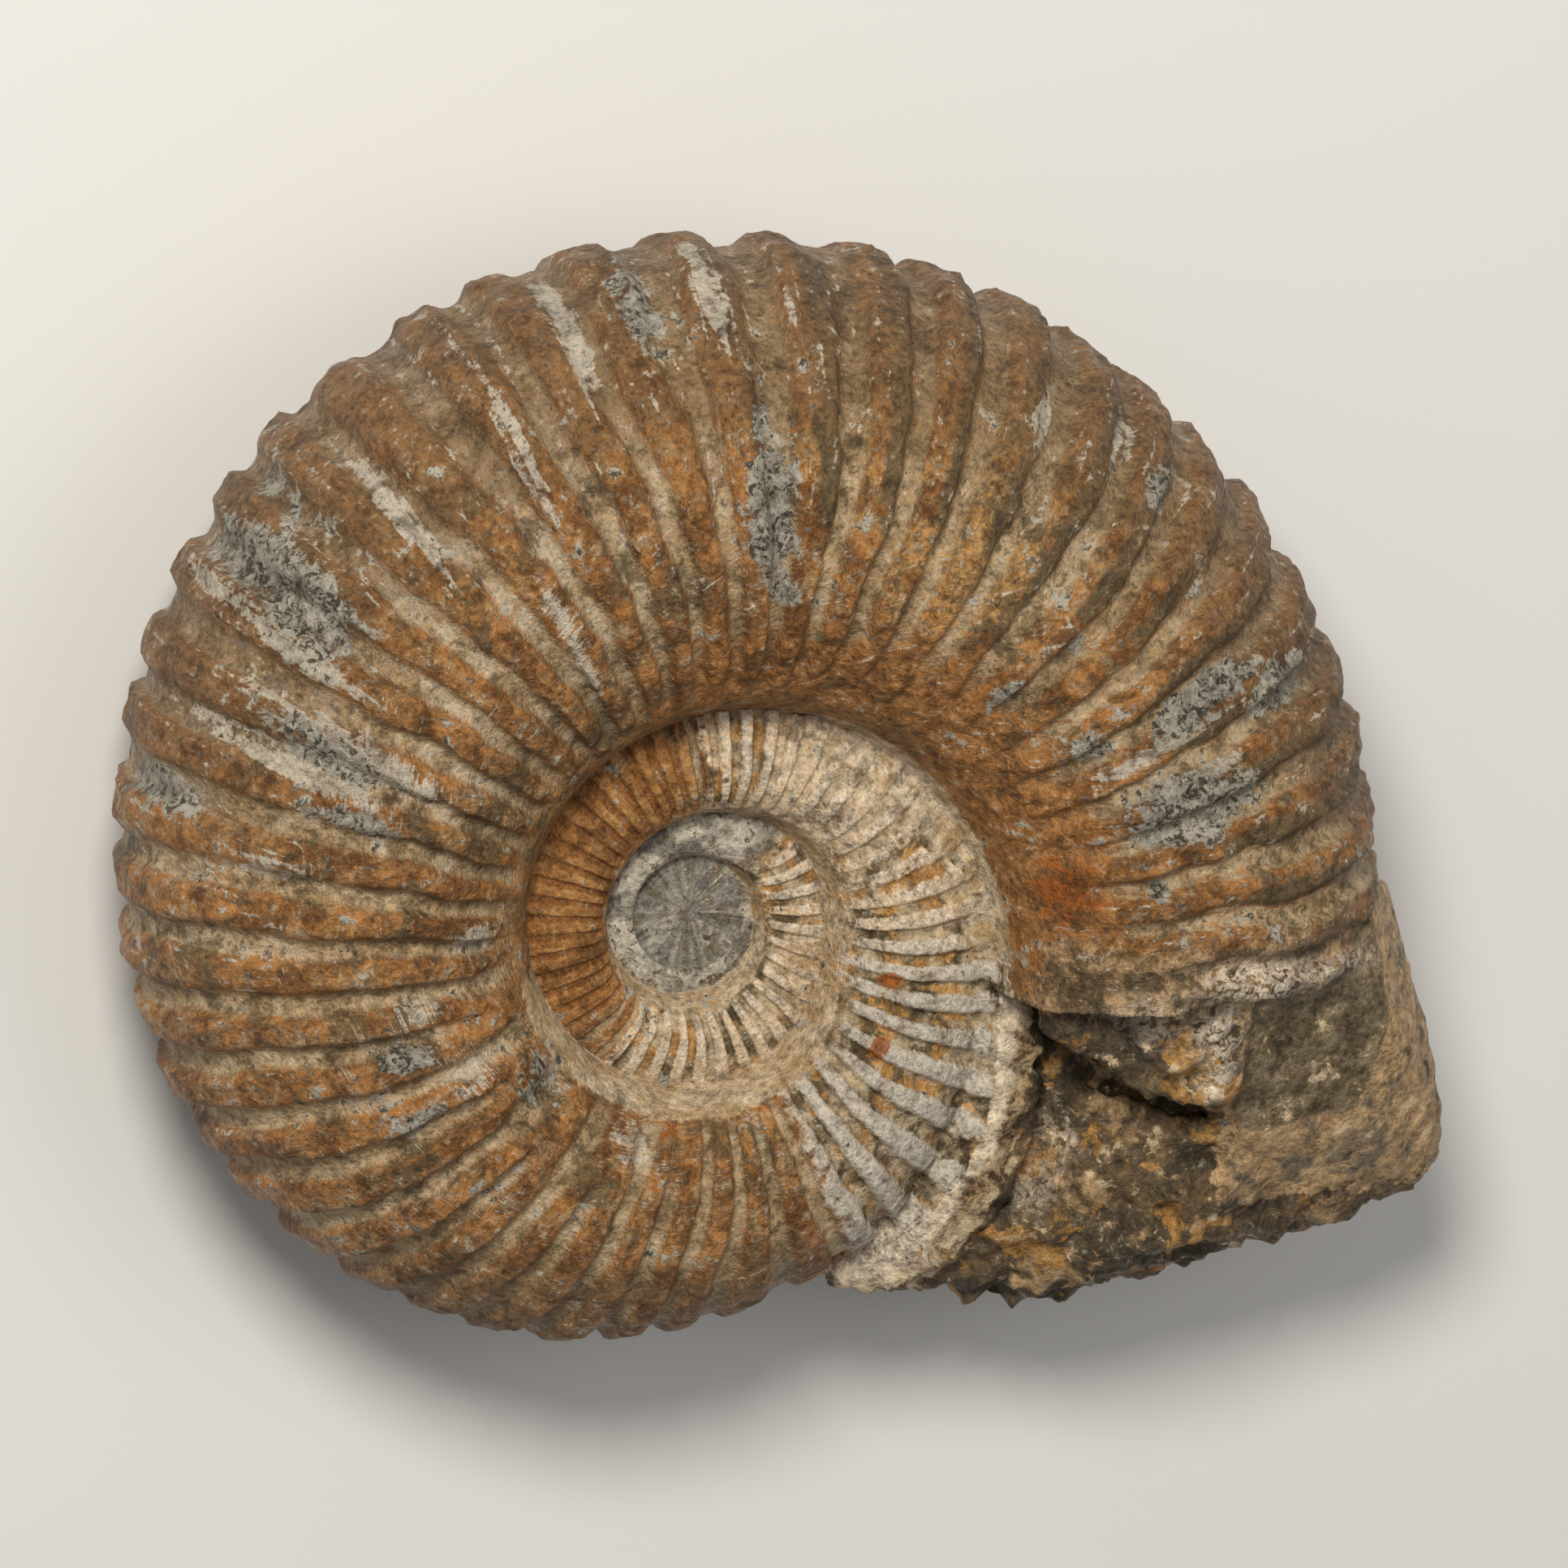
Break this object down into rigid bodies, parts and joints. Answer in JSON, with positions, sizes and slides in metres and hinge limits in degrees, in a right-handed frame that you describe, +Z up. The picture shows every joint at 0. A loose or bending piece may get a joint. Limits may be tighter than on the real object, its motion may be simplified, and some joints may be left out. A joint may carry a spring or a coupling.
{
  "type": "ammonite fossil",
  "caption": "Ribbed planispiral ammonite of stone, lying on one flank, with an open umbilicus and rock still filling the broken body chamber.",
  "frame": {"origin": "middle of the bounding box, on the surface that the fossil lies on", "axes": "+X towards the broken mouth and its rock, +Z up out of the visible flank, +Y across"},
  "size_m": [0.1046, 0.0858, 0.0398],
  "materials": {
    "fossil_stone": "rough, dry natural stone: orange-brown ribs, tan dust in the grooves, blue-grey worn patches"
  },
  "bodies": {
    "root": {"ammonite_fossil": "fossil_stone"}
  },
  "joints": []
}
